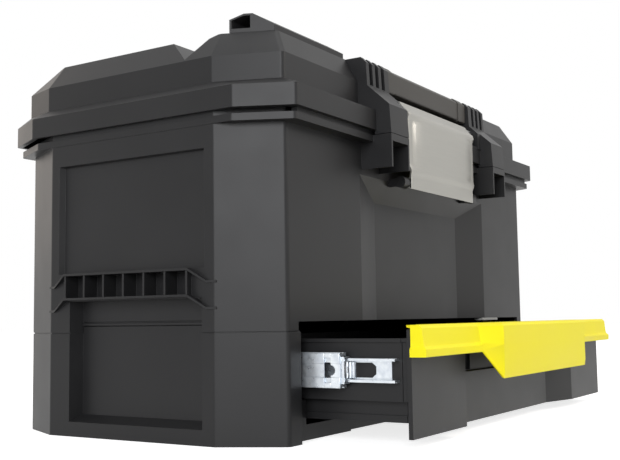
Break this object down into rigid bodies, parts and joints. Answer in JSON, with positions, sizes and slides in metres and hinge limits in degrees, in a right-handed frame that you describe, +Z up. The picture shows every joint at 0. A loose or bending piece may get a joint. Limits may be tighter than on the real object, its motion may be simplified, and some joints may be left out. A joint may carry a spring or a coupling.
{
  "type": "portable tool box with drawer",
  "caption": "Moulded portable tool box with a hinged lid, folding handle, wide front latch and a drawer on ball slides in its base.",
  "frame": {"origin": "middle of the base's underside, on the floor", "axes": "+X to the right along the length, -Y towards the front and the drawer, +Z up"},
  "size_m": [0.485, 0.3534, 0.2911],
  "materials": {
    "black_abs": "fine moulded grain, satin",
    "grip_abs": "fine moulded grain, satin",
    "yellow_abs": "smooth moulding",
    "light_abs": "smooth moulding",
    "latch_steel": "brushed, satin",
    "zinc_steel": "bright zinc plating",
    "steel": "plain steel"
  },
  "bodies": {
    "cabinet": {"base_cabinet": "black_abs", "upper_case": "black_abs", "case_screws": "steel", "drawer_tab": "light_abs", "tote_tray": "yellow_abs", "slide_outer_left": "zinc_steel", "slide_outer_right": "zinc_steel", "cabinet_screws": "steel", "hinge_pins": "steel"},
    "lid": {"lid_shell": "black_abs", "lid_rail": "black_abs", "latch_pin": "steel", "handle_pins": "steel"},
    "latch": {"latch_plate": "latch_steel"},
    "handle": {"handle": "grip_abs"},
    "drawer": {"drawer_tray": "black_abs", "drawer_dividers": "black_abs", "drawer_front": "black_abs", "drawer_cap": "yellow_abs", "front_screws": "steel", "slide_inner_left": "zinc_steel", "slide_inner_right": "zinc_steel", "member_screws": "steel"},
    "slide_mids": {"slide_mid_left": "zinc_steel", "slide_mid_right": "zinc_steel", "inner_cages": "zinc_steel", "inner_balls": "steel"},
    "ball_cages": {"outer_cages": "zinc_steel", "outer_balls": "steel"}
  },
  "joints": [
    {"name": "lid_hinge", "type": "hinge", "parent": "cabinet", "child": "lid", "pos_m": [0, 0.127, 0.206], "axis": [-1, 0, 0], "range_deg": [0, 105]},
    {"name": "latch_pivot", "type": "hinge", "parent": "lid", "child": "latch", "pos_m": [0, -0.126, 0.2489], "axis": [-1, 0, 0], "range_deg": [0, 90]},
    {"name": "handle_pivot", "type": "hinge", "parent": "lid", "child": "handle", "pos_m": [0, -0.012, 0.2679], "axis": [-1, 0, 0], "range_deg": [0, 95]},
    {"name": "drawer_slide", "type": "slide", "parent": "cabinet", "child": "drawer", "axis": [0, -1, 0], "range_m": [-0.08, 0.11]},
    {"name": "mid_slide", "type": "slide", "parent": "cabinet", "child": "slide_mids", "axis": [0, -1, 0], "range_m": [-0.04, 0.055]},
    {"name": "cage_slide", "type": "slide", "parent": "cabinet", "child": "ball_cages", "axis": [0, -1, 0], "range_m": [-0.02, 0.0275]}
  ],
  "couplings": [
    {"joint": "mid_slide", "follows": "drawer_slide", "ratio": 0.5},
    {"joint": "cage_slide", "follows": "drawer_slide", "ratio": 0.25}
  ]
}
